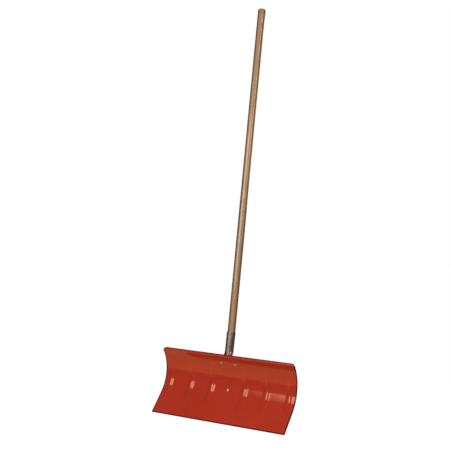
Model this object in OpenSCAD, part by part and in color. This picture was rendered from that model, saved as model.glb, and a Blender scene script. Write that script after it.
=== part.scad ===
// Snow pusher: a wide curled steel blade on a straight wooden handle.
// Millimetres, +Z up along the handle. The origin is on the ground under the middle of the
// whole tool. The blade is wide along X and its hollow face looks toward -Y.

/* [Blade] */
// Width of the blade, side to side
blade_w = 610; // [600:5:620]
// Thickness of the blade's sheet steel
sheet_t = 1.5; // [1.3:0.2:1.7]
// Length of the flat lower part, measured up the sheet
flat_run = 100; // [100:1:101]
// Radius of the curl, on the hollow face
curl_r = 135; // [135:1:136]
// Angle the sheet turns through, from the flat part to the rolled edge
curl_angle = 81.5; // [81:0.5:82]
// Angle between the flat lower part and the handle
blade_rake = 35; // [34:1:36]
// How far the lower edge stands in front of the handle's axis
edge_reach = 63; // [61:2:63]
// Radius of the two upper corners
corner_r = 10; // [9:1:11]
// Outer radius of the rolled top edge
bead_r = 5; // [4.5:0.5:5]

/* [Ribs] */
// Ribs pressed into the blade on each side of its middle
ribs_a_side = 3; // [2:1:3]
// Middle of the blade to the first rib
first_rib_x = 76; // [74:1:78]
// Distance from one rib to the next
rib_pitch = 100; // [98:1:102]
// Width of a rib where it leaves the sheet
rib_w = 26; // [25:1:26]
// Height of a rib above the hollow face
rib_h = 3.5; // [3:0.5:3.5]
// Clear sheet between the lower edge and a rib's lower end
rib_clear_low = 48; // [46:1:50]
// Clear sheet between a rib's upper end and the rolled edge
rib_clear_top = 52; // [52:1:54]

/* [Handle] */
// Top of the handle above the ground
overall_h = 1711; // [1650:1:1760]
// Diameter of the handle
handle_d = 31.75; // [31.5:0.25:32]
// Diameter of the handle's lower end, inside the socket
handle_end_d = 28.4; // [28:0.4:28.4]
// Height of the crown on the handle's top end
crown_h = 5; // [4:1:6]

/* [Socket] */
// Height of the socket's rim above the ground
socket_rim_z = 361; // [358:1:363]
// Thickness of the socket's sheet steel
socket_t = 1.6; // [1.5:0.1:1.6]
// Width of the open seam at the rim
seam_w = 8; // [5:1:8]
// Width of the seam where its edges spread to meet the blade
seam_mouth_w = 23; // [21:1:24]
// Radius of the round pads under the rivets
pad_r = 13; // [12.5:0.5:13]

/* [Rivets and nail] */
// Radius of a rivet's shank
rivet_r = 2.5; // [2.4:0.1:2.6]
// Radius of a rivet's domed head
rivet_head_r = 6; // [5.5:0.5:6]
// Height of a rivet's domed head
rivet_head_h = 2.2; // [2:0.1:2.4]
// Middle of the blade to each upper rivet
upper_rivet_x = 31; // [30:1:32]
// Lower edge to the upper rivets, measured up the sheet
upper_rivet_run = 258; // [256:1:260]
// Lower edge to the lower rivet, measured up the sheet
lower_rivet_run = 149; // [147:1:151]
// Height of the nail that holds the handle
nail_z = 279; // [278:1:280]
// How far round from the front the nail is driven
nail_turn = 44; // [44:1:46]
// Radius of the nail's shank
nail_r = 1.4; // [1.3:0.1:1.5]
// Radius of the nail's head
nail_head_r = 3.4; // [3.2:0.1:3.6]
// Length of the nail's shank
nail_len = 24; // [22:1:24]

/* [Hidden] */
$fn = 96;

// Working clearances between pieces that touch
seat_gap = 0.05;
fit_gap = 0.1;
// Extra length on anything that is cut away
over = 2;

function arc_degrees(run, radius) = run / radius * 180 / PI;

// The curl's axis runs along X through this point
curl_y = -edge_reach + flat_run * sin(blade_rake) - curl_r * cos(blade_rake);
curl_z = sheet_t * sin(blade_rake) + flat_run * cos(blade_rake) + curl_r * sin(blade_rake);
blade_back_r = curl_r + sheet_t;
// The rolled edge is set back a hair, so that it meets the hollow face at a clear step
bead_set_back = 0.1 * sheet_t;
bead_centre_r = curl_r + bead_set_back + bead_r;
// Above the curl's axis: the handle's lower end, and where the socket meets the blade
handle_low_rise = 93;
socket_meets_rise = 95;
// A little over corner_r, so that the rounding meets the edges at a clear angle
corner_bite_r = 1.05 * corner_r;

// A rib is part of a round bar of this radius, sunk behind the sheet
rib_r = (pow(rib_w / 2, 2) + pow(rib_h, 2)) / (2 * rib_h);
rib_sink = rib_r - rib_h;
rib_end = rib_w / 2;
rib_straight = flat_run - rib_clear_low - rib_end;
rib_turn = curl_angle - arc_degrees(rib_clear_top + rib_end, curl_r);

handle_r = handle_d / 2;
handle_end_r = handle_end_d / 2;
// The handle's taper ends just above the socket's rim
taper_top_z = socket_rim_z + 3;
handle_low_z = curl_z + handle_low_rise;
crown_r = (pow(handle_r, 2) + pow(crown_h, 2)) / (2 * crown_h);

plate_r = blade_back_r + seat_gap;
plate_back_r = plate_r + socket_t;
pocket_r = handle_end_r + fit_gap;
rim_pocket_r = handle_r + fit_gap;
// The channel behind the blade fades out at the level of the curl's axis
channel_end_r = 4.5;
channel_y = curl_y + blade_back_r;
channel_z = curl_z;
channel_drop = handle_low_z - channel_z;
// Below the handle the tube bends back by the angle that points it at the channel's end
bend_r = 80;
bend_span = norm([channel_drop, bend_r - channel_y]);
channel_lean = atan2(channel_drop, bend_r - channel_y) - acos(bend_r / bend_span);
channel_len = sqrt(pow(bend_span, 2) - pow(bend_r, 2));
upper_rivet_turn = arc_degrees(upper_rivet_run - flat_run, curl_r) - blade_rake;
lower_rivet_turn = arc_degrees(lower_rivet_run - flat_run, curl_r) - blade_rake;
upper_rivet_z = curl_z + plate_back_r * sin(upper_rivet_turn);
lower_rivet_z = curl_z + plate_back_r * sin(lower_rivet_turn);
// The seam's edges start to spread just above the nail
seam_spread_z = nail_z + 8;
socket_meets_blade_z = curl_z + socket_meets_rise;

rivet_tail_r = 4.2;
rivet_tail_h = 1.6;
rivet_hole_r = rivet_r + fit_gap;
// A flat head on the hollow face rests on its rim, so its middle stands off a little
rivet_stand_off = pow(rivet_head_r, 2) / (2 * curl_r) + seat_gap;
rivet_grip = rivet_stand_off + sheet_t + seat_gap + socket_t + seat_gap;
nail_seat_r = pocket_r + (rim_pocket_r - pocket_r) * (nail_z - handle_low_z)
              / (taper_top_z - handle_low_z) + socket_t + fit_gap;
nail_tip = 3 * nail_r;
nail_head_h = 1.6;

// The tool reaches from the blade's edge to the channel's end, with the origin midway.
// The modules below work from the handle's axis, which then stands this far behind it.
handle_y = (edge_reach - (channel_y + channel_end_r)) / 2;

// Moves a piece drawn about the handle's axis to its place in the tool
module in_place() {
    translate([0, handle_y, 0])
        children();
}

// Turns an outline drawn in Y and Z into a solid that runs along X
module along_x(width) {
    mirror([1, 0, 0])
        rotate([90, 0, 90])
            linear_extrude(height = width, center = true)
                children();
}

// Local frame on the curl's axis: X points away from it, Y round the curl, Z across the blade
module in_curl(turn) {
    translate([0, curl_y, curl_z])
        rotate([90, 0, 90])
            rotate([0, 0, turn])
                children();
}

// Frame on the hollow face at one turn of the curl: Z points out of the back of the blade
module on_face(x, turn) {
    in_curl(turn)
        translate([curl_r, 0, x])
            rotate([0, 90, 0])
                children();
}

// Ring between two radii, kept between two angles
module ring_sector(inner, outer, from, to) {
    reach = 2 * curl_r;
    middle = (from + to) / 2;
    intersection() {
        difference() {
            circle(r = outer);
            circle(r = inner);
        }
        polygon([
            [0, 0],
            reach * [cos(from), sin(from)],
            reach * [cos(middle), sin(middle)],
            reach * [cos(to), sin(to)]
        ]);
    }
}

// Half a ball, flat side down
module half_ball(radius) {
    rotate_extrude()
        intersection() {
            circle(r = radius);
            square(radius);
        }
}

// Low dome with a flat underside, for a rivet or nail head
module dome(base_r, height) {
    ball_r = (pow(base_r, 2) + pow(height, 2)) / (2 * height);
    rotate_extrude()
        intersection() {
            translate([0, height - ball_r])
                circle(r = ball_r);
            square([base_r, height]);
        }
}

// Frame of an outline in Y and Z, turned with the curl: X points away from the curl's axis
module on_section(turn) {
    translate([curl_y, curl_z])
        rotate(turn - blade_rake)
            children();
}

// Plain sheet: flat lower part and curl
module sheet() {
    along_x(blade_w)
        on_section(0)
            translate([curl_r, -flat_run])
                square([sheet_t, flat_run]);
    along_x(blade_w)
        on_section(0)
            ring_sector(curl_r, blade_back_r, 0, curl_angle);
}

// Round bar along the top edge, drawn once solid and once to hollow it out
module bead(width, radius) {
    along_x(width)
        on_section(curl_angle)
            translate([bead_centre_r, 0])
                circle(r = radius);
}

// Everything in front of the middle of the sheet
module front_zone() {
    along_x(blade_w)
        on_section(0)
            circle(r = curl_r + sheet_t / 2);
    along_x(blade_w)
        on_section(0)
            translate([0, -flat_run])
                square([curl_r + sheet_t / 2, flat_run]);
}

// Round bar that follows the sheet from one rib end to the other
module rib_bar(x, radius) {
    in_curl(-blade_rake)
        translate([0, 0, x]) {
            rotate_extrude(angle = rib_turn)
                translate([curl_r + rib_sink, 0])
                    circle(r = radius);
            rotate([0, 0, rib_turn])
                translate([curl_r + rib_sink, 0, 0])
                    rotate([-90, 0, 0])
                        half_ball(radius);
            translate([curl_r + rib_sink, 0, 0])
                rotate([90, 0, 0]) {
                    cylinder(h = rib_straight, r = radius);
                    translate([0, 0, rib_straight])
                        half_ball(radius);
                }
        }
}

// Calls its child once for every rib, mirrored to both sides of the blade
module each_rib() {
    for (side = [-1, 1])
        for (i = [0 : ribs_a_side - 1])
            rib_bar(side * (first_rib_x + i * rib_pitch), $rib_bar_r);
}

// Square block with a round bite, which leaves the blade's upper corner rounded
module corner_cutter(side) {
    turn = curl_angle - blade_rake + arc_degrees(bead_r - corner_r, curl_r);
    block = corner_r + over;
    depth = 2 * (bead_r + over);
    in_curl(turn)
        translate([curl_r, 0, side * (blade_w / 2 - corner_r)])
            rotate([0, 90, 0])
                difference() {
                    translate([side > 0 ? -block : 0, 0, -depth])
                        cube([block, block, 2 * depth]);
                    cylinder(h = 3 * depth, r = corner_bite_r, center = true);
                }
}

module rivet_holes(from, depth) {
    for (x = [-upper_rivet_x, upper_rivet_x])
        on_face(x, upper_rivet_turn)
            translate([0, 0, from])
                cylinder(h = depth, r = rivet_hole_r);
    on_face(0, lower_rivet_turn)
        translate([0, 0, from])
            cylinder(h = depth, r = rivet_hole_r);
}

module blade() {
    color("#b03023") in_place()
        difference() {
            union() {
                sheet();
                bead(blade_w, bead_r);
                intersection() {
                    each_rib($rib_bar_r = rib_r);
                    front_zone();
                }
            }
            each_rib($rib_bar_r = rib_r - sheet_t);
            bead(blade_w + 2 * over, bead_r - sheet_t);
            for (side = [-1, 1])
                corner_cutter(side);
            rivet_holes(-over, sheet_t + 2 * over);
        }
}

// Frame on the nail's axis at the socket's surface: Z points into the handle
module on_nail() {
    rotate([0, 0, nail_turn])
        translate([0, -nail_seat_r, nail_z])
            rotate([-90, 0, 0])
                children();
}

// Half of the handle's lengthwise section, from its lower end to its crowned top
module handle_section() {
    polygon([
        [0, handle_low_z],
        [handle_end_r, handle_low_z],
        [handle_r, taper_top_z],
        [handle_r, overall_h - crown_h],
        [0, overall_h - crown_h]
    ]);
    intersection() {
        translate([0, overall_h - crown_r])
            circle(r = crown_r);
        translate([0, overall_h - crown_h])
            square([handle_r, crown_h]);
    }
}

module handle() {
    color("#a5805f") in_place()
        difference() {
            rotate_extrude()
                handle_section();
            on_nail()
                cylinder(h = nail_len + nail_tip + fit_gap, r = nail_r + seat_gap);
        }
}

// Tapered tube round the handle, then a bend and a channel that fades out behind the blade
module socket_body(wall) {
    tube_h = taper_top_z - handle_low_z;
    low_r = pocket_r + wall;
    end_r = channel_end_r - socket_t + wall;
    translate([0, 0, handle_low_z])
        cylinder(h = tube_h, r1 = low_r, r2 = rim_pocket_r + wall);
    translate([0, bend_r, handle_low_z])
        rotate([90, 0, 90]) {
            rotate([0, 0, 180])
                rotate_extrude(angle = channel_lean)
                    translate([bend_r, 0])
                        circle(r = low_r);
            rotate([0, 0, channel_lean])
                translate([-bend_r, 0, 0])
                    rotate([90, 0, 0]) {
                        cylinder(h = channel_len, r1 = low_r, r2 = end_r);
                        translate([0, 0, channel_len])
                            half_ball(end_r);
                    }
        }
}

// Block with the outline of the wings and tongue: a shield with round pads, thick along Y
module plate_blank() {
    depth = 2 * plate_back_r;
    waist = 0.9 * pad_r;
    neck_x = (pocket_r + socket_t) / 2;
    translate([0, curl_y + depth, 0])
        rotate([90, 0, 0]) {
            linear_extrude(height = depth)
                polygon([
                    [-upper_rivet_x, upper_rivet_z + waist],
                    [-neck_x, socket_meets_blade_z],
                    [neck_x, socket_meets_blade_z],
                    [upper_rivet_x, upper_rivet_z + waist],
                    [upper_rivet_x, upper_rivet_z - waist],
                    [waist, lower_rivet_z],
                    [-waist, lower_rivet_z],
                    [-upper_rivet_x, upper_rivet_z - waist]
                ]);
            for (x = [-upper_rivet_x, upper_rivet_x])
                translate([x, upper_rivet_z, 0])
                    cylinder(h = depth, r = pad_r);
            translate([0, lower_rivet_z, 0])
                cylinder(h = depth, r = pad_r);
        }
}

// Sheet of the socket that lies against the back of the blade
module socket_plate() {
    intersection() {
        along_x(4 * upper_rivet_x)
            translate([curl_y, curl_z])
                difference() {
                    circle(r = plate_back_r);
                    circle(r = plate_r);
                }
        plate_blank();
    }
}

// Open front seam: narrow at the rim, spread wide where the sheet folds out to the blade
module seam() {
    top_z = socket_rim_z + over;
    rotate([90, 0, 0])
        linear_extrude(height = 2 * handle_d)
            polygon([
                [-seam_w / 2, top_z],
                [-seam_w / 2, seam_spread_z],
                [-seam_mouth_w / 2, socket_meets_blade_z],
                [seam_mouth_w / 2, socket_meets_blade_z],
                [seam_w / 2, seam_spread_z],
                [seam_w / 2, top_z]
            ]);
}

module socket() {
    color("#4d4846") in_place()
        difference() {
            union() {
                socket_body(socket_t);
                socket_plate();
            }
            socket_body(0);
            along_x(blade_w)
                translate([curl_y, curl_z])
                    circle(r = plate_r);
            seam();
            translate([0, 0, socket_rim_z])
                cylinder(h = taper_top_z, r = handle_d);
            rivet_holes(sheet_t, socket_t + over);
            on_nail()
                translate([0, 0, -over])
                    cylinder(h = socket_t + 2 * over, r = nail_r + fit_gap);
        }
}

// One rivet: domed head on the hollow face, shank, and tail set behind the socket
module rivet() {
    translate([0, 0, -rivet_stand_off]) {
        rotate([180, 0, 0])
            dome(rivet_head_r, rivet_head_h);
        cylinder(h = rivet_grip, r = rivet_r);
        translate([0, 0, rivet_grip])
            cylinder(h = rivet_tail_h, r1 = rivet_tail_r, r2 = rivet_tail_r - rivet_tail_h / 2);
    }
}

module blade_rivets() {
    color("#c9c4bd") in_place() {
        for (x = [-upper_rivet_x, upper_rivet_x])
            on_face(x, upper_rivet_turn)
                rivet();
        on_face(0, lower_rivet_turn)
            rivet();
    }
}

module socket_nail() {
    color("#b5b0a8") in_place()
        on_nail() {
            rotate([180, 0, 0])
                dome(nail_head_r, nail_head_h);
            cylinder(h = nail_len, r = nail_r);
            translate([0, 0, nail_len])
                cylinder(h = nail_tip, r1 = nail_r, r2 = 0.2);
        }
}

blade();
handle();
socket();
blade_rivets();
socket_nail();
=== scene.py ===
"""Looks for the snow pusher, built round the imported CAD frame. Metres, +Z up the handle."""

import math

import bmesh
import bpy
import numpy as np
from mathutils import Matrix, Vector


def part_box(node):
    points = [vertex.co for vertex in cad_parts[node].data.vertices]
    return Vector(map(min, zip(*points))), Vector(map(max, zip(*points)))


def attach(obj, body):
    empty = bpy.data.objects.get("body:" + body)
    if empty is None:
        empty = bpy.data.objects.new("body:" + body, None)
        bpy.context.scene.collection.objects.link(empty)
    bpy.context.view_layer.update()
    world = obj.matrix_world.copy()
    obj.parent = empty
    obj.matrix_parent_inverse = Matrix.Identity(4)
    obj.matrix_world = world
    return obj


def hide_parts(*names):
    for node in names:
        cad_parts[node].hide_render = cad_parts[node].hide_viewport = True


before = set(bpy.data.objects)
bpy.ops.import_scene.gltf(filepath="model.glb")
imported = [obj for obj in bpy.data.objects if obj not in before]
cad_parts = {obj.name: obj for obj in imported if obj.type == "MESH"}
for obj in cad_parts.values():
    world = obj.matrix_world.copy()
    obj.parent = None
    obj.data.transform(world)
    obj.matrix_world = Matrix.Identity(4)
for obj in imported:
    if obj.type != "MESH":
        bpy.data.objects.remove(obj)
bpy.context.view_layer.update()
BODY = "root"
MM = 0.001

BLADE_LOW, BLADE_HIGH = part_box("blade")
HANDLE_LOW, HANDLE_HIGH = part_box("handle")
NAIL_LOW, NAIL_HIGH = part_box("socket_nail")

# Blade: a flat lower part, then a curl whose axis runs along X
HALF_WIDTH = BLADE_HIGH.x
SHEET = 1.5 * MM
FLAT_RUN = 100 * MM
RAKE = math.radians(35)
CURL_R = 135 * MM
CURL_Y = BLADE_LOW.y + FLAT_RUN * math.sin(RAKE) - CURL_R * math.cos(RAKE)
CURL_Z = SHEET * math.sin(RAKE) + FLAT_RUN * math.cos(RAKE) + CURL_R * math.sin(RAKE)
CORNER_R = 10 * MM
# The top edge is rolled back into a bead: its outer radius, how far round it is rolled, and
# the turn of the curl and the length of sheet below its centre
BEAD_R = 6.5 * MM
BEAD_TURN = math.radians(290)
CURL_TURN = math.radians(81.1)
BEAD_RUN = FLAT_RUN + CURL_R * CURL_TURN
# Over this length at either end the bead is pressed down to a smaller radius
BEAD_END = 12 * MM
BEAD_END_R = 1.2 * SHEET
TOP_RUN = BEAD_RUN + BEAD_R
BLADE_TOP_Z = CURL_Z + (CURL_R + BEAD_R) * math.sin(CURL_TURN - RAKE) + BEAD_R

# Ribs pressed forward into the blade: three on each side of its middle
FIRST_RIB_X = 76 * MM
RIB_PITCH = 100 * MM
RIB_CENTRES = [side * (FIRST_RIB_X + RIB_PITCH * i) for side in (-1, 1) for i in range(3)]
RIB_HALF_WIDTH = 16.5 * MM
RIB_HEIGHT = 4.4 * MM
# Where the ribs start and stop up the sheet, and the length over which each end fades out
RIB_LOW = 40 * MM
RIB_HIGH = BEAD_RUN - 34 * MM
RIB_END = 48 * MM

# Handle, on a vertical axis through the middle of its box
AXIS = Vector(((HANDLE_LOW.x + HANDLE_HIGH.x) / 2, (HANDLE_LOW.y + HANDLE_HIGH.y) / 2, 0))
HANDLE_R = (HANDLE_HIGH.x - HANDLE_LOW.x) / 2
HANDLE_END_R = 11.5 * MM
RIM_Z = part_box("socket")[1].z
# The handle narrows slowly from just above the socket's rim, then quickly over its last stretch
TAPER_TOP_Z = RIM_Z + 3 * MM
NOSE_Z = HANDLE_LOW.z + 29 * MM
NOSE_R = 14.5 * MM

# Rivets: the upper two's distance from the middle, and how far up the sheet each row is
RIVET_X = 31 * MM
RIVET_RUN = 258 * MM
LOW_RIVET_RUN = 149 * MM
# Radius of the socket's round pads behind the rivets
PAD_R = 13 * MM
# Nail: its height, and how far round it is from the front
NAIL_Z = (NAIL_LOW.z + NAIL_HIGH.z) / 2
NAIL_TURN = math.radians(44)

# Socket: sheet steel wrapped round the handle, open down the front, spread behind the blade
STEEL = 1.6 * MM
FIT = 0.1 * MM
# Width of the seam at the rim, and how far its lips stand off the wood there
SEAM = 8 * MM
LIP = 2 * MM
# Below this height the seam spreads and the tube starts to open out to the plate
SPREAD_Z = RIM_Z - 60 * MM
# The channel behind the blade: half its width and its depth where it passes the curl's axis,
# and the length over which it fades out below that
CHANNEL_HALF = 4 * MM
CHANNEL_DEPTH = 3 * MM
CHANNEL_FADE = 20 * MM
BACK_R = CURL_R + SHEET + FIT


# ---------------------------------------------------------------- meshes

def add_object(name, mesh, material_name):
    """Puts a mesh into the scene as a named piece that rides on the tool."""
    obj = bpy.data.objects.new(name, mesh)
    bpy.context.scene.collection.objects.link(obj)
    obj.data.materials.append(MATERIALS[material_name])
    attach(obj, BODY)
    return obj


def shade_smooth(mesh, sharp_degrees=35):
    """Smooth shading, with edges sharper than the angle kept crisp."""
    mesh.polygons.foreach_set("use_smooth", [True] * len(mesh.polygons))
    mesh.set_sharp_from_angle(angle=math.radians(sharp_degrees))


def soften(obj, width):
    """Rounds a piece's sharp edges."""
    bevel = obj.modifiers.new("soft_edges", "BEVEL")
    bevel.width = width
    bevel.segments = 2
    bevel.limit_method = "ANGLE"
    bevel.angle_limit = math.radians(50)


def loft(name, rings, closed, capped):
    """Mesh through rings of points, each ring a list of the same length, joined in order."""
    points = np.array(rings, float)
    ring_count, size = points.shape[:2]
    span = size if closed else size - 1
    faces = []
    for i in range(ring_count - 1):
        for j in range(span):
            k = (j + 1) % size
            faces.append((i * size + j, i * size + k, (i + 1) * size + k, (i + 1) * size + j))
    if capped:
        faces.append(tuple(reversed(range(size))))
        faces.append(tuple((ring_count - 1) * size + j for j in range(size)))
    mesh = bpy.data.meshes.new(name)
    mesh.from_pydata(points.reshape(-1, 3).tolist(), [], faces)
    if closed:
        tidy_mesh(mesh)
    return mesh


def tidy_mesh(mesh):
    """Merges doubled points, splits many-sided caps and turns every face outward."""
    bm = bmesh.new()
    bm.from_mesh(mesh)
    bmesh.ops.remove_doubles(bm, verts=bm.verts, dist=1e-6)
    wide = [f for f in bm.faces if len(f.verts) > 4]
    bmesh.ops.triangulate(bm, faces=wide)
    bmesh.ops.recalc_face_normals(bm, faces=bm.faces)
    bm.to_mesh(mesh)
    bm.free()
    mesh.update()


def revolve(name, profile, segments):
    """Mesh of (radius, height) points turned about Z."""
    angles = [2 * math.pi * i / segments for i in range(segments)]
    rings = [[(r * math.cos(a), r * math.sin(a), z) for a in angles] for r, z in profile]
    return loft(name, rings, closed=True, capped=True)


def arc(centre, radius, start, end, steps):
    """Points on a circle in a plane, from one angle to another in degrees."""
    turns = [math.radians(start + (end - start) * i / steps) for i in range(steps + 1)]
    return [(centre[0] + radius * math.cos(t), centre[1] + radius * math.sin(t)) for t in turns]


# ---------------------------------------------------------------- blade

def smooth(t):
    """Half a cosine wave from 0 to 1."""
    t = min(max(t, 0.0), 1.0)
    return 0.5 - 0.5 * math.cos(math.pi * t)


def rib_lift(x, run):
    """How far a rib raises the sheet at x, that far up the sheet."""
    nearest = min(abs(x - centre) for centre in RIB_CENTRES)
    across = smooth(1 - nearest / RIB_HALF_WIDTH)
    along = smooth((run - RIB_LOW) / RIB_END) * smooth((RIB_HIGH - run) / RIB_END)
    return RIB_HEIGHT * across * along


def sheet_turn(run):
    """Turn round the curl's axis, from the distance up the sheet."""
    return (run - FLAT_RUN) / CURL_R - RAKE


def sheet_point(x, run, lift):
    """Point over the hollow face: run is measured up the sheet, lift stands out to the front."""
    if run < FLAT_RUN:
        y = BLADE_LOW.y + run * math.sin(RAKE) - lift * math.cos(RAKE)
        z = SHEET * math.sin(RAKE) + run * math.cos(RAKE) + lift * math.sin(RAKE)
        return (x, y, z)
    turn = sheet_turn(run)
    radius = CURL_R - lift
    return (x, CURL_Y + radius * math.cos(turn), CURL_Z + radius * math.sin(turn))


def blade_columns():
    """Places across the blade, close together over the ribs and at the rounded corners."""
    plain_count = 89
    rib_count = 23
    corner_steps = 12
    gap = 2 * MM
    places = set(np.linspace(-HALF_WIDTH, HALF_WIDTH, plain_count).round(6))
    reach = RIB_HALF_WIDTH + 1 * MM
    for centre in RIB_CENTRES:
        places = {x for x in places if abs(x - centre) > reach + gap}
        places.update(np.linspace(centre - reach, centre + reach, rib_count).round(6))
    start = HALF_WIDTH - CORNER_R
    places = {x for x in places if abs(x) < start - gap}
    for i in range(corner_steps + 1):
        x = start + CORNER_R * math.sin(math.pi / 2 * i / corner_steps)
        places.update((round(x, 6), round(-x, 6)))
    return sorted(places)


def top_run(x):
    """Length of the sheet at x, shorter in the rounded corners."""
    into_corner = max(0.0, abs(x) - (HALF_WIDTH - CORNER_R))
    return TOP_RUN - CORNER_R + math.sqrt(max(0.0, CORNER_R ** 2 - into_corner ** 2))


def blade_section(x):
    """Closed outline of the sheet at x: up the front, round the rolled edge, down the back."""
    flatness = smooth((abs(x) - (HALF_WIDTH - BEAD_END)) / BEAD_END)
    bead_r = BEAD_R - (BEAD_R - BEAD_END_R) * flatness
    top = top_run(x) - bead_r
    rows = 78
    steps = 24
    front = [(top * i / rows, 0.0) for i in range(rows + 1)]
    turns = [BEAD_TURN * i / steps for i in range(1, steps + 1)]
    inner_r = bead_r - SHEET
    outside = [(top + bead_r * math.sin(t), bead_r * (math.cos(t) - 1)) for t in turns]
    inside = [(top + inner_r * math.sin(t), inner_r * math.cos(t) - bead_r)
              for t in reversed(turns)]
    back = [(top * (1 - i / rows), -SHEET) for i in range(rows + 1)]
    outline = front + outside + inside + back
    return [sheet_point(x, run, lift + rib_lift(x, run)) for run, lift in outline]


def build_blade():
    """Thin sheet lofted across the blade, with its cut edges softened."""
    sections = [blade_section(x) for x in blade_columns()]
    mesh = loft("blade_sheet", sections, closed=True, capped=True)
    shade_smooth(mesh)
    blade = add_object("blade_sheet", mesh, "blade_paint")
    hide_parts("blade")
    soften(blade, 0.3 * MM)


# ---------------------------------------------------------------- handle

def handle_radius(z):
    """Radius of the handle at a height inside the socket or just above it."""
    heights = (HANDLE_LOW.z, NOSE_Z, TAPER_TOP_Z)
    return float(np.interp(z, heights, (HANDLE_END_R, NOSE_R, HANDLE_R)))


def build_handle():
    """Turned pole: narrow end inside the socket, a long straight shaft and a soft crown."""
    top = HANDLE_HIGH.z
    edge_r = 7 * MM
    crown = 1.5 * MM
    flat_r = HANDLE_R - edge_r
    shaft_top = top - crown - edge_r
    shaft_steps = 24
    crown_steps = 4
    profile = [(0.0, HANDLE_LOW.z), (HANDLE_END_R, HANDLE_LOW.z)]
    profile += [(handle_radius(z), z) for z in (NOSE_Z, TAPER_TOP_Z)]
    shaft = np.linspace(RIM_Z + 40 * MM, shaft_top, shaft_steps)
    profile += [(HANDLE_R, float(z)) for z in shaft]
    profile += arc((flat_r, shaft_top), edge_r, 10, 80, 7)
    for i in range(crown_steps + 1):
        inward = 1 - i / crown_steps
        profile.append((flat_r * inward, top - crown * inward ** 2))
    mesh = revolve("handle_pole", profile, 72)
    shade_smooth(mesh, 50)
    mesh.transform(Matrix.Translation(AXIS))
    handle = add_object("handle_pole", mesh, "handle_wood")
    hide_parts("handle")


# ---------------------------------------------------------------- socket and fasteners

def back_height(run):
    """Height of a point on the back of the blade's curl, from the distance up the sheet."""
    return CURL_Z + BACK_R * math.sin(sheet_turn(run))


PAD_Z = back_height(RIVET_RUN)
LOW_PAD_Z = back_height(LOW_RIVET_RUN)
PAD_TOP_Z = PAD_Z + 0.95 * PAD_R
TONGUE_Z = LOW_PAD_Z - PAD_R


def circle_reach(z, centre_z):
    """Half the width of a pad at a height, or nothing beyond it."""
    return math.sqrt(max(0.0, PAD_R ** 2 - (z - centre_z) ** 2))


def plate_reach(z):
    """Half the width of the socket's plate: two pads above, a tongue below, a shield between."""
    waist = 0.9 * PAD_R
    shoulder = RIVET_X + 0.4 * PAD_R
    shield = np.interp(z, (LOW_PAD_Z, PAD_Z), (waist, shoulder))
    upper = circle_reach(z, PAD_Z)
    reach = circle_reach(z, LOW_PAD_Z)
    if z > LOW_PAD_Z:
        reach = max(reach, float(shield))
    if upper > 0:
        reach = max(reach, RIVET_X + upper)
    return reach


def tube_half(z, count):
    """Half of the wrapped section, from the back round to the seam, as (x, y) about the handle."""
    spread_length = 40 * MM
    spread = min(max((SPREAD_Z - z) / spread_length, 0.0), 1.0)
    seam_x = SEAM * (1 + spread) / 2
    radius = handle_radius(z) + FIT
    flare = LIP * (1 + smooth((RIM_Z - z) / (RIM_Z - SPREAD_Z)) + spread)
    points = []
    for i in range(count):
        turn = (math.pi - math.asin(seam_x / radius)) * i / (count - 1)
        r = radius + flare * max(0.0, -math.cos(turn))
        points.append((r * math.sin(turn), r * math.cos(turn)))
    return np.array(points)


def plate_half(z, count):
    """Half of the section behind the blade: a round channel, then a wing along the sheet."""
    level = min(z, PAD_TOP_Z)
    curl_y = CURL_Y - AXIS.y
    wing_y = curl_y + math.sqrt(BACK_R ** 2 - (level - CURL_Z) ** 2)
    heights = (CURL_Z - CHANNEL_FADE, CURL_Z, HANDLE_LOW.z)
    back_y = np.interp(z, heights, (wing_y, curl_y + BACK_R + CHANNEL_DEPTH, HANDLE_END_R))
    channel = np.interp(z, heights, (CHANNEL_HALF / 2, CHANNEL_HALF, HANDLE_END_R))
    reach = plate_reach(level)
    channel = min(float(channel), 0.45 * reach)
    depth = max(0.0, back_y - wing_y)
    half = count // 2
    points = []
    for i in range(count):
        if i < half:
            turn = math.pi / 2 * i / half
            points.append((channel * math.sin(turn), wing_y + depth * math.cos(turn)))
        else:
            along = (i - half) / (count - 1 - half)
            points.append((channel + (reach - channel) * along, wing_y))
    return np.array(points)


def socket_half(z):
    """Half of the socket's section at a height: wrapped above, spreading out to the plate."""
    count = 41
    plate = plate_half(z, count)
    if z <= PAD_TOP_Z:
        return plate
    lateness = 1.6
    way_down = max((SPREAD_Z - z) / (SPREAD_Z - PAD_TOP_Z), 0.0)
    opened = (1 - math.cos(math.pi / 2 * way_down)) ** lateness
    tube = tube_half(z, count)
    return tube + (plate - tube) * opened


def socket_section(z):
    """Whole section from the left edge, round the back, to the right edge, with soft folds."""
    half = socket_half(z)
    section = np.vstack([half[:0:-1] * (-1, 1), half])
    softening_passes = 4
    for _ in range(softening_passes):
        section[1:-1] = (section[:-2] + 2 * section[1:-1] + section[2:]) / 4
    return [(x + AXIS.x, y + AXIS.y, z) for x, y in section]


def build_socket():
    """Sheet through the sections from the rim down to the tongue, thickened outward."""
    tongue_turns = np.radians(np.linspace(9, 90, 10))
    pad_turns = np.radians(np.linspace(-72, 72, 19))
    tongue = TONGUE_Z + PAD_R * (1 - np.cos(tongue_turns))
    pads = PAD_Z + PAD_R * np.sin(pad_turns)
    shield_count = 22
    tube_count = 44
    heights = set(tongue) | set(pads)
    heights |= set(np.linspace(tongue[-1], pads[0], shield_count))
    heights |= set(np.linspace(pads[-1], RIM_Z, tube_count))
    rings = [socket_section(float(z)) for z in sorted(heights, reverse=True)]
    mesh = loft("socket_sheet", rings, closed=False, capped=False)
    shade_smooth(mesh, 60)
    socket = add_object("socket_sheet", mesh, "socket_steel")
    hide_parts("socket")
    thick = socket.modifiers.new("sheet", "SOLIDIFY")
    thick.thickness = STEEL
    thick.offset = 1
    soften(socket, 0.4 * MM)


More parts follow.
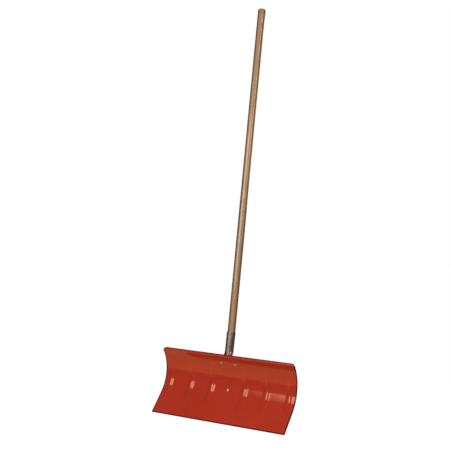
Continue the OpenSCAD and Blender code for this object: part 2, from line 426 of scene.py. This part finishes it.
def dome(base_r, height, base):
    """Low round cap as (radius, height) points, from its rim up to its middle."""
    steps = 10
    ball_r = (base_r ** 2 + height ** 2) / (2 * height)
    widest = math.asin(base_r / ball_r)
    angles = [widest * (1 - i / steps) for i in range(steps + 1)]
    ball_z = base + height - ball_r
    return [(ball_r * math.sin(a), ball_z + ball_r * math.cos(a)) for a in angles]


def place_turned(name, profile, place, outward, material_name, node):
    """Turned piece whose +Z is set along a direction."""
    mesh = revolve(name, profile, 48)
    shade_smooth(mesh, 50)
    turn = outward.to_track_quat("Z", "X").to_matrix().to_4x4()
    mesh.transform(Matrix.Translation(place) @ turn)
    piece = add_object(name, mesh, material_name)
    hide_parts(node)


def build_rivets():
    """Domed head on the hollow face, shank, and a set tail behind the socket's plate."""
    shank_r = 2.5 * MM
    head_r = 6 * MM
    head_edge = 0.6 * MM
    head_h = 1.8 * MM
    tail_r = 4.2 * MM
    tail_h = 1.5 * MM
    grip = SHEET + STEEL + 0.2 * MM
    seat = head_r ** 2 / (2 * CURL_R)
    tail = [(r, -grip - h) for r, h in reversed(dome(tail_r, tail_h, 0.0))]
    profile = tail + [(shank_r, -grip), (shank_r, seat), (head_r, seat)]
    profile += [(0.99 * head_r, seat + head_edge * 2 / 3)]
    profile += dome(0.95 * head_r, head_h, seat + head_edge)
    places = (("rivet_left", -RIVET_X, RIVET_RUN),
              ("rivet_right", RIVET_X, RIVET_RUN),
              ("rivet_low", 0.0, LOW_RIVET_RUN))
    for name, x, run in places:
        turn = sheet_turn(run)
        outward = Vector((0, -math.cos(turn), -math.sin(turn)))
        place = Vector(sheet_point(x, run, 0.0))
        place_turned(name, profile, place, outward, "rivet_steel", "blade_rivets")


def build_nail():
    """Domed head against the socket's sheet, with a pointed shank in the handle."""
    shank_r = 1.4 * MM
    shank_length = 20 * MM
    tip = 4 * MM
    head_r = 3.4 * MM
    head_edge = 0.3 * MM
    head_h = 2.2 * MM
    section = socket_section(NAIL_Z)
    seam_to_back = section[:len(section) // 2 - 1:-1]
    turns = [math.atan2(x - AXIS.x, AXIS.y - y) for x, y, _ in seam_to_back]
    radii = [math.hypot(x - AXIS.x, y - AXIS.y) for x, y, _ in seam_to_back]
    seat = float(np.interp(NAIL_TURN, turns, radii)) + STEEL
    profile = [(0.0, -shank_length - tip), (shank_r, -shank_length), (shank_r, 0.0), (head_r, 0.0)]
    profile += dome(0.97 * head_r, head_h, head_edge)
    outward = Vector((math.sin(NAIL_TURN), -math.cos(NAIL_TURN), 0))
    place = AXIS + outward * seat + Vector((0, 0, NAIL_Z))
    place_turned("nail", profile, place, outward, "nail_steel", "socket_nail")


# ---------------------------------------------------------------- materials

class Nodes:
    """Small helper for building a material's node tree."""

    # The Mix node's sockets for two colours and their mixture
    COLOUR_A = 6
    COLOUR_B = 7
    COLOUR_RESULT = 2

    def __init__(self, name):
        self.material = bpy.data.materials.new(name)
        self.material.use_nodes = True
        self.tree = self.material.node_tree
        self.tree.nodes.clear()

    def add(self, kind, inputs=None, **settings):
        """New node, with some of its inputs set or linked."""
        node = self.tree.nodes.new("ShaderNode" + kind)
        for key, value in settings.items():
            setattr(node, key, value)
        for key, value in (inputs or {}).items():
            self.put(node.inputs[key], value)
        return node

    def put(self, socket, value):
        if isinstance(value, bpy.types.NodeSocket):
            self.tree.links.new(value, socket)
        else:
            socket.default_value = value

    def noise(self, vector, scale, detail=4.0, roughness=0.5):
        inputs = {"Vector": vector, "Scale": scale, "Detail": detail, "Roughness": roughness}
        return self.add("TexNoise", inputs).outputs["Fac"]

    def ramp(self, value, low, high, to_low=0.0, to_high=1.0):
        """Straight ramp between two values, level beyond them."""
        inputs = {"Value": value, "From Min": low, "From Max": high,
                  "To Min": to_low, "To Max": to_high}
        return self.add("MapRange", inputs).outputs["Result"]

    def mix(self, factor, a, b):
        node = self.add("Mix", data_type="RGBA")
        self.put(node.inputs["Factor"], factor)
        self.put(node.inputs[self.COLOUR_A], a)
        self.put(node.inputs[self.COLOUR_B], b)
        return node.outputs[self.COLOUR_RESULT]

    def maths(self, operation, a, b=0.0):
        return self.add("Math", {0: a, 1: b}, operation=operation).outputs[0]

    def stretched(self, scale):
        """Object coordinates, scaled along each axis."""
        place = self.add("TexCoord").outputs["Object"]
        return self.add("Mapping", {"Vector": place, "Scale": scale}).outputs["Vector"]

    def bump(self, height, strength, distance, normal=None):
        inputs = {"Height": height, "Strength": strength, "Distance": distance}
        if normal is not None:
            inputs["Normal"] = normal
        return self.add("Bump", inputs).outputs["Normal"]

    def surface(self, **inputs):
        """Finished material; input names have underscores for spaces."""
        named = {key.replace("_", " "): value for key, value in inputs.items()}
        shader = self.add("BsdfPrincipled", named)
        output = self.add("OutputMaterial")
        self.tree.links.new(shader.outputs[0], output.inputs[0])
        return self.material


def painted_rim_shade_mask(n, place):
    """1 along the blade's outer edges and 0 elsewhere, with a slightly ragged line at the sides; it
    marks where dark shade is painted on the edges.
    """
    part = n.add("SeparateXYZ", {0: place})
    ragged = n.maths("MULTIPLY", n.noise(place, 160.0, 2.0), 1.2 * MM)
    off_middle = n.maths("ADD", n.maths("ABSOLUTE", part.outputs["X"]), ragged)
    side = n.ramp(off_middle, HALF_WIDTH - 5 * MM, HALF_WIDTH - 3.5 * MM)
    low = n.ramp(part.outputs["Z"], 5.5 * MM, 4 * MM)
    # The top of the rolled edge is painted dark as shade too
    high = n.ramp(part.outputs["Z"], BLADE_TOP_Z - 3 * MM, BLADE_TOP_Z - 1.5 * MM)
    return n.maths("MAXIMUM", n.maths("MAXIMUM", side, low), high)


def blade_paint():
    """Glossy red enamel: faint orange peel, slow colour drift, and a dark, dull rim painted on the
    outer edges as shade.
    """
    red = (0.585, 0.046, 0.0235, 1)
    brighter_red = (0.62, 0.054, 0.029, 1)
    speck_red = (0.45, 0.02, 0.012, 1)
    # Near-black red painted along the outer edges as shade
    painted_shade_red = (0.09, 0.006, 0.006, 1)
    n = Nodes("blade_paint")
    place = n.stretched((1, 1, 1))
    drift = n.ramp(n.noise(place, 9.0, 3.0), 0.3, 0.7)
    specks = n.ramp(n.noise(place, 900.0, 2.0), 0.35, 0.7, 0.0, 0.10)
    rim = painted_rim_shade_mask(n, place)
    colour = n.mix(drift, red, brighter_red)
    colour = n.mix(specks, colour, speck_red)
    # Paints the shade along the edges
    colour = n.mix(n.maths("MULTIPLY", rim, 0.93), colour, painted_shade_red)
    smudge = n.noise(n.stretched((1, 1, 2.5)), 22.0, 5.0, 0.6)
    rough = n.ramp(smudge, 0.3, 0.75, 0.07, 0.13)
    peel = n.bump(n.noise(place, 420.0, 2.0), 0.05, 0.0004)
    shine = n.ramp(rim, 0.0, 1.0, 0.5, 0.05)
    return n.surface(Base_Color=colour, Roughness=rough, IOR=1.5, Normal=peel,
                     Specular_IOR_Level=shine, Specular_Tint=(1.0, 0.86, 0.62, 1))


def handle_wood():
    """Varnished hardwood: long grain with pores, painted shade darkening it toward the pole's
    outline, and a paler painted highlight on the wood inside the socket.
    """
    light = (0.63, 0.425, 0.26, 1)
    dark = (0.41, 0.22, 0.11, 1)
    pore = (0.20, 0.09, 0.035, 1)
    tan = (0.59, 0.345, 0.185, 1)
    # Dark brown painted toward the outline as seen from the camera, as shade on the pole's round
    # sides
    outline = (0.10, 0.045, 0.015, 1)
    # Pale pinkish tan painted on the wood inside the socket as a highlight
    socket_highlight_tan = (0.86, 0.62, 0.50, 1)
    n = Nodes("handle_wood")
    bands = n.noise(n.stretched((70, 70, 1.1)), 1.0, 5.0, 0.55)
    fine = n.noise(n.stretched((900, 900, 9)), 1.0, 3.0, 0.6)
    slow = n.noise(n.stretched((8, 8, 1.6)), 1.0, 2.0)
    facing = n.add("LayerWeight", {"Blend": 0.5}).outputs["Facing"]
    height = n.add("SeparateXYZ", {0: n.stretched((1, 1, 1))}).outputs["Z"]
    socket_highlight_mask = n.ramp(height, RIM_Z + 2 * MM, RIM_Z - 2 * MM, 0.0, 0.6)
    colour = n.mix(n.ramp(bands, 0.36, 0.66), light, dark)
    colour = n.mix(n.ramp(fine, 0.5, 0.8, 0.0, 0.6), colour, pore)
    colour = n.mix(n.ramp(slow, 0.35, 0.65, 0.0, 0.35), colour, tan)
    # Paints the shade toward the outline
    colour = n.mix(n.ramp(facing, 0.08, 0.55, 0.0, 0.86), colour, outline)
    # Paints the highlight on the wood inside the socket
    colour = n.mix(socket_highlight_mask, colour, socket_highlight_tan)
    rough = n.ramp(bands, 0.3, 0.7, 0.27, 0.40)
    grain = n.bump(fine, 0.20, 0.0004)
    grain = n.bump(bands, 0.10, 0.0008, grain)
    return n.surface(Base_Color=colour, Roughness=rough, IOR=1.5, Normal=grain,
                     Coat_Weight=0.7, Coat_Roughness=0.12, Coat_Tint=(1.0, 0.9, 0.8, 1))


def worn_steel(name, colour, rough_low, rough_high):
    """Plain steel with blotches, fine upright scratches and brighter wear."""
    n = Nodes(name)
    blotch = n.noise(n.stretched((60, 60, 25)), 1.0, 5.0, 0.6)
    scratch = n.noise(n.stretched((1500, 1500, 45)), 1.0, 2.0, 0.5)
    worn = tuple(min(1.0, c * 1.6) for c in colour[:3]) + (1,)
    tone = n.mix(n.ramp(blotch, 0.35, 0.7), colour, worn)
    tone = n.mix(n.ramp(scratch, 0.5, 0.8, 0.0, 0.3), tone, worn)
    rough = n.ramp(blotch, 0.3, 0.7, rough_low, rough_high)
    normal = n.bump(n.maths("ADD", scratch, blotch), 0.15, 0.0003)
    return n.surface(Base_Color=tone, Metallic=0.85, Roughness=rough, Normal=normal)


MATERIALS = {
    "blade_paint": blade_paint(),
    "handle_wood": handle_wood(),
    "socket_steel": worn_steel("socket_steel", (0.25, 0.23, 0.24, 1), 0.34, 0.50),
    # The rivets' pinkish tint is a painted reflection of the red blade
    "rivet_steel": worn_steel("rivet_steel", (0.48, 0.33, 0.32, 1), 0.30, 0.45),
    "nail_steel": worn_steel("nail_steel", (0.90, 0.86, 0.82, 1), 0.22, 0.35),
}


# ---------------------------------------------------------------- studio

# What the tool's glossy and matt surfaces see of the near floor
FLOOR_SHEEN = (1.35, 0.62, 0.30, 1)
FLOOR_BOUNCE = (0.40, 0.35, 0.18, 1)
# What they see of the rest
FAR_FLOOR = (0.05, 0.05, 0.05, 1)
# The near floor is a warm rectangle under the blade: half its width, its front and back, and
# the width of its soft edge
NEAR_FLOOR_X = 0.9
NEAR_FLOOR_Y = (-0.42, 0.5)
NEAR_FLOOR_EDGE = 0.04


def floor_material():
    """White to the camera with faint shadows; the tool itself sees a warm near floor."""
    n = Nodes("floor")
    path = n.add("LightPath")
    place = n.add("NewGeometry").outputs["Position"]
    part = n.add("SeparateXYZ", {0: place})
    front, back = NEAR_FLOOR_Y
    off_x = n.maths("ABSOLUTE", part.outputs["X"])
    off_y = n.maths("ABSOLUTE", n.maths("SUBTRACT", part.outputs["Y"], (front + back) / 2))
    in_x = n.ramp(off_x, NEAR_FLOOR_X, NEAR_FLOOR_X - NEAR_FLOOR_EDGE)
    in_y = n.ramp(off_y, (back - front) / 2, (back - front) / 2 - NEAR_FLOOR_EDGE)
    near = n.maths("MULTIPLY", in_x, in_y)
    lit = n.mix(path.outputs["Is Glossy Ray"], FLOOR_BOUNCE, FLOOR_SHEEN)
    seen = n.mix(near, FAR_FLOOR, lit)
    glow = n.add("Emission", {"Color": seen, "Strength": 1.0}).outputs[0]
    white = n.add("Emission", {"Color": (1, 1, 1, 1), "Strength": 0.97}).outputs[0]
    matt = n.add("BsdfDiffuse", {"Color": (0.3, 0.3, 0.3, 1)}).outputs[0]
    bright = n.add("AddShader", {0: white, 1: matt}).outputs[0]
    both = n.add("MixShader", {0: path.outputs["Is Camera Ray"], 1: glow, 2: bright})
    output = n.add("OutputMaterial")
    n.tree.links.new(both.outputs[0], output.inputs[0])
    return n.material


def build_floor():
    """Wide plain floor, a hair below the tool."""
    mesh = bpy.data.meshes.new("floor")
    reach = 30.0
    corners = [(-reach, -reach, 0), (reach, -reach, 0), (reach, reach, 0), (-reach, reach, 0)]
    mesh.from_pydata(corners, [], [(0, 1, 2, 3)])
    floor = bpy.data.objects.new("floor", mesh)
    floor.location.z = -0.5 * MM
    bpy.context.scene.collection.objects.link(floor)
    mesh.materials.append(floor_material())


def build_world():
    """White to the camera, dim to reflections and a little brighter to matt surfaces."""
    world = bpy.data.worlds.new("studio")
    bpy.context.scene.world = world
    world.use_nodes = True
    tree = world.node_tree
    tree.nodes.clear()
    path = tree.nodes.new("ShaderNodeLightPath")
    output = tree.nodes.new("ShaderNodeOutputWorld")
    greys = {"camera": 1.0, "mirror": 0.03, "matt": 0.10}
    shades = {}
    for name, grey in greys.items():
        shades[name] = tree.nodes.new("ShaderNodeBackground")
        shades[name].inputs["Color"].default_value = (grey, grey, grey, 1)
    by_kind = tree.nodes.new("ShaderNodeMixShader")
    tree.links.new(path.outputs["Is Glossy Ray"], by_kind.inputs[0])
    tree.links.new(shades["matt"].outputs[0], by_kind.inputs[1])
    tree.links.new(shades["mirror"].outputs[0], by_kind.inputs[2])
    by_camera = tree.nodes.new("ShaderNodeMixShader")
    tree.links.new(path.outputs["Is Camera Ray"], by_camera.inputs[0])
    tree.links.new(by_kind.outputs[0], by_camera.inputs[1])
    tree.links.new(shades["camera"].outputs[0], by_camera.inputs[2])
    tree.links.new(by_camera.outputs[0], output.inputs[0])


def add_softbox(name, centre, target, width, height, radiance, colour):
    """Rectangular area light of a given brightness, aimed at a point."""
    light = bpy.data.lights.new(name, "AREA")
    light.shape = "RECTANGLE"
    light.size = width
    light.size_y = height
    light.energy = radiance * math.pi * width * height
    light.color = colour
    obj = bpy.data.objects.new(name, light)
    obj.location = centre
    aim = Vector(target) - Vector(centre)
    obj.rotation_euler = aim.to_track_quat("-Z", "Y").to_euler()
    obj.visible_camera = False
    bpy.context.scene.collection.objects.link(obj)


def build_lights():
    """Wide key light in front, a narrow one to the right of the handle and one behind."""
    warm = (1.0, 0.97, 0.88)
    warmer = (1.0, 0.93, 0.84)
    key_y = -2.5
    key_z = 1.20
    key_height = 1.16
    # The key is built up from overlapping panels, (left end, right end, brightness), so that it
    # fades out at its left end; each one stands a little farther off than the last
    panels = ((-1.24, 0.92, 0.9), (-1.04, 0.92, 2.3), (-0.92, 0.92, 2.45), (-0.90, -0.78, 1.6))
    panel_gap = 0.01
    for i, (left, right, radiance) in enumerate(panels):
        centre = Vector(((left + right) / 2, key_y - panel_gap * i, key_z))
        ahead = centre + Vector((0, 1, 0))
        add_softbox(f"key_{i}", centre, ahead, right - left, key_height, radiance, warm)
    add_softbox("side", centre=(2.34, -1.14, 2.1), target=(0, 0, 1.5), width=0.2, height=1.5,
                radiance=20.0, colour=warmer)
    add_softbox("back", centre=(0.4, 3.0, 1.9), target=(0, 0, 0.5), width=2.0, height=1.5,
                radiance=3.5, colour=warm)


def build_camera():
    """Camera to the right, above the blade, looking a little up and rolled so the handle leans."""
    turn = math.radians(29.9)
    tilt = math.radians(4.8)
    roll = math.radians(5.5)
    distance = 3.5415
    # It looks at a point beside the middle of the handle
    aim = AXIS + Vector((-0.0256, -0.0909, 0.46 * HANDLE_HIGH.z))
    ahead = Vector((-math.sin(turn) * math.cos(tilt), math.cos(turn) * math.cos(tilt),
                    math.sin(tilt)))
    level = Vector((math.cos(turn), math.sin(turn), 0))
    upright = level.cross(ahead)
    right = level * math.cos(roll) + upright * math.sin(roll)
    up = upright * math.cos(roll) - level * math.sin(roll)
    place = aim - ahead * distance
    data = bpy.data.cameras.new("camera")
    data.sensor_width = 36
    data.lens = 70.4
    camera = bpy.data.objects.new("camera", data)
    axes = Matrix((right, up, -ahead)).transposed()
    camera.matrix_world = Matrix.Translation(place) @ axes.to_4x4()
    bpy.context.scene.collection.objects.link(camera)
    bpy.context.scene.camera = camera


build_blade()
build_handle()
build_socket()
build_rivets()
build_nail()
build_floor()
build_world()
build_lights()
build_camera()

view = bpy.context.scene.view_settings
view.view_transform = "Standard"
view.look = "None"
